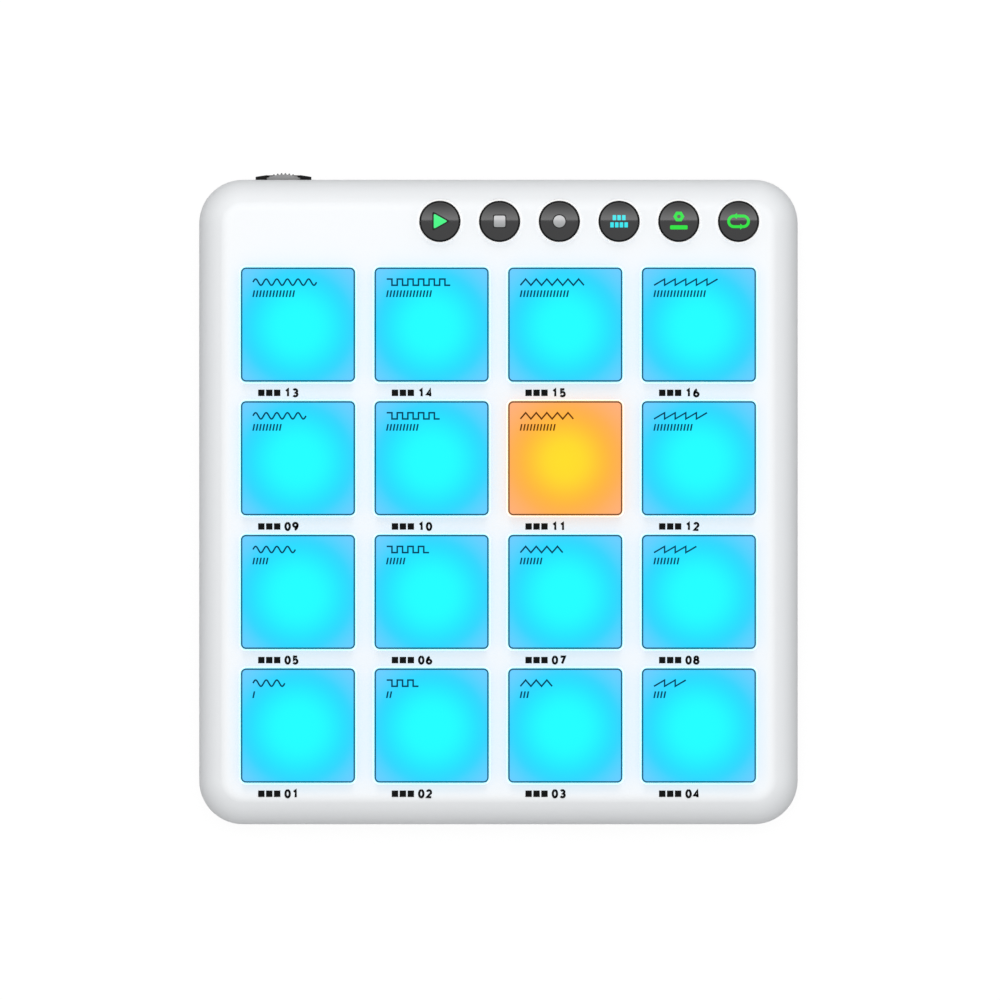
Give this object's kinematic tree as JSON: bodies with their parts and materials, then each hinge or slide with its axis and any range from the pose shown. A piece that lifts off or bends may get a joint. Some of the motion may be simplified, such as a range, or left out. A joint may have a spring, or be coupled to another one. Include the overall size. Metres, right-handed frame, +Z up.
{
  "type": "midi pad controller",
  "caption": "Flat square finger-drumming controller with a field of lit silicone pads, a row of round gloss keys and a serrated thumb dial in its rear edge.",
  "frame": {"origin": "under the middle of the case, in the plane that the rubber feet stand on", "axes": "+X to the right of a player, +Y to the rear edge with the dial, +Z up out of the pads"},
  "size_m": [0.13, 0.1415, 0.0222],
  "materials": {
    "shell_white": "satin moulded white plastic",
    "pad_cyan": "translucent silicone lit cyan from below",
    "pad_orange": "translucent silicone lit orange from below",
    "key_black": "gloss black plastic",
    "plunger_grey": "moulded",
    "wheel_grey": "moulded grey plastic with a serrated rim",
    "bezel_black": "moulded black plastic",
    "encoder_grey": "moulded",
    "mat_silicone": "silicone",
    "grid_white": "moulded white",
    "film_amber": "polyimide film",
    "board_green": "solder mask over glass epoxy",
    "switch_black": "moulded",
    "led_white": "lens resin",
    "screw_steel": "zinc plated",
    "socket_steel": "plated sheet steel",
    "tongue_black": "moulded",
    "chip_black": "moulded",
    "shield_tin": "tinned sheet",
    "cell_foil": "laminated foil pouch",
    "tape_black": "adhesive foam tape",
    "plug_ivory": "moulded",
    "wire_red": "insulated wire",
    "foot_rubber": "moulded rubber"
  },
  "bodies": {
    "housing": {"top_shell": "shell_white", "bottom_shell": "shell_white", "pad_mat": "mat_silicone", "light_grid": "grid_white", "sensor_film": "film_amber", "main_board": "board_green", "tact_switches": "switch_black", "pad_leds": "led_white", "button_leds": "led_white", "dial_bezel": "bezel_black", "dial_encoder": "encoder_grey", "dial_screw": "screw_steel", "usb_shell": "socket_steel", "usb_tongue": "tongue_black", "controller_chip": "chip_black", "wireless_module": "shield_tin", "battery": "cell_foil", "battery_tape": "tape_black", "battery_connector": "plug_ivory", "battery_lead": "wire_red", "case_screws": "screw_steel", "rubber_feet": "foot_rubber"},
    "dial": {"dial_wheel": "wheel_grey"},
    "pad_1": {"pad_1": "pad_cyan"},
    "pad_2": {"pad_2": "pad_cyan"},
    "pad_3": {"pad_3": "pad_cyan"},
    "pad_4": {"pad_4": "pad_cyan"},
    "pad_5": {"pad_5": "pad_cyan"},
    "pad_6": {"pad_6": "pad_cyan"},
    "pad_7": {"pad_7": "pad_cyan"},
    "pad_8": {"pad_8": "pad_cyan"},
    "pad_9": {"pad_9": "pad_cyan"},
    "pad_10": {"pad_10": "pad_cyan"},
    "pad_11": {"pad_11": "pad_orange"},
    "pad_12": {"pad_12": "pad_cyan"},
    "pad_13": {"pad_13": "pad_cyan"},
    "pad_14": {"pad_14": "pad_cyan"},
    "pad_15": {"pad_15": "pad_cyan"},
    "pad_16": {"pad_16": "pad_cyan"},
    "play_key": {"play_button": "key_black", "play_plunger": "plunger_grey"},
    "stop_key": {"stop_button": "key_black", "stop_plunger": "plunger_grey"},
    "record_key": {"record_button": "key_black", "record_plunger": "plunger_grey"},
    "bank_key": {"bank_button": "key_black", "bank_plunger": "plunger_grey"},
    "shift_key": {"shift_button": "key_black", "shift_plunger": "plunger_grey"},
    "repeat_key": {"repeat_button": "key_black", "repeat_plunger": "plunger_grey"}
  },
  "joints": [
    {"name": "dial_spin", "type": "hinge", "parent": "housing", "child": "dial", "pos_m": [-0.0467, 0.06246, 0.0077], "axis": [0, 0, 1], "continuous": true},
    {"name": "pad_1_press", "type": "slide", "parent": "housing", "child": "pad_1", "axis": [0, 0, -1], "range_m": [0, 0.001], "stiffness_N_per_m": 1500},
    {"name": "pad_2_press", "type": "slide", "parent": "housing", "child": "pad_2", "axis": [0, 0, -1], "range_m": [0, 0.001], "stiffness_N_per_m": 1500},
    {"name": "pad_3_press", "type": "slide", "parent": "housing", "child": "pad_3", "axis": [0, 0, -1], "range_m": [0, 0.001], "stiffness_N_per_m": 1500},
    {"name": "pad_4_press", "type": "slide", "parent": "housing", "child": "pad_4", "axis": [0, 0, -1], "range_m": [0, 0.001], "stiffness_N_per_m": 1500},
    {"name": "pad_5_press", "type": "slide", "parent": "housing", "child": "pad_5", "axis": [0, 0, -1], "range_m": [0, 0.001], "stiffness_N_per_m": 1500},
    {"name": "pad_6_press", "type": "slide", "parent": "housing", "child": "pad_6", "axis": [0, 0, -1], "range_m": [0, 0.001], "stiffness_N_per_m": 1500},
    {"name": "pad_7_press", "type": "slide", "parent": "housing", "child": "pad_7", "axis": [0, 0, -1], "range_m": [0, 0.001], "stiffness_N_per_m": 1500},
    {"name": "pad_8_press", "type": "slide", "parent": "housing", "child": "pad_8", "axis": [0, 0, -1], "range_m": [0, 0.001], "stiffness_N_per_m": 1500},
    {"name": "pad_9_press", "type": "slide", "parent": "housing", "child": "pad_9", "axis": [0, 0, -1], "range_m": [0, 0.001], "stiffness_N_per_m": 1500},
    {"name": "pad_10_press", "type": "slide", "parent": "housing", "child": "pad_10", "axis": [0, 0, -1], "range_m": [0, 0.001], "stiffness_N_per_m": 1500},
    {"name": "pad_11_press", "type": "slide", "parent": "housing", "child": "pad_11", "axis": [0, 0, -1], "range_m": [0, 0.001], "stiffness_N_per_m": 1500},
    {"name": "pad_12_press", "type": "slide", "parent": "housing", "child": "pad_12", "axis": [0, 0, -1], "range_m": [0, 0.001], "stiffness_N_per_m": 1500},
    {"name": "pad_13_press", "type": "slide", "parent": "housing", "child": "pad_13", "axis": [0, 0, -1], "range_m": [0, 0.001], "stiffness_N_per_m": 1500},
    {"name": "pad_14_press", "type": "slide", "parent": "housing", "child": "pad_14", "axis": [0, 0, -1], "range_m": [0, 0.001], "stiffness_N_per_m": 1500},
    {"name": "pad_15_press", "type": "slide", "parent": "housing", "child": "pad_15", "axis": [0, 0, -1], "range_m": [0, 0.001], "stiffness_N_per_m": 1500},
    {"name": "pad_16_press", "type": "slide", "parent": "housing", "child": "pad_16", "axis": [0, 0, -1], "range_m": [0, 0.001], "stiffness_N_per_m": 1500},
    {"name": "play_press", "type": "slide", "parent": "housing", "child": "play_key", "axis": [0, 0, -1], "range_m": [0, 0.0004], "stiffness_N_per_m": 800},
    {"name": "stop_press", "type": "slide", "parent": "housing", "child": "stop_key", "axis": [0, 0, -1], "range_m": [0, 0.0004], "stiffness_N_per_m": 800},
    {"name": "record_press", "type": "slide", "parent": "housing", "child": "record_key", "axis": [0, 0, -1], "range_m": [0, 0.0004], "stiffness_N_per_m": 800},
    {"name": "bank_press", "type": "slide", "parent": "housing", "child": "bank_key", "axis": [0, 0, -1], "range_m": [0, 0.0004], "stiffness_N_per_m": 800},
    {"name": "shift_press", "type": "slide", "parent": "housing", "child": "shift_key", "axis": [0, 0, -1], "range_m": [0, 0.0004], "stiffness_N_per_m": 800},
    {"name": "repeat_press", "type": "slide", "parent": "housing", "child": "repeat_key", "axis": [0, 0, -1], "range_m": [0, 0.0004], "stiffness_N_per_m": 800}
  ]
}
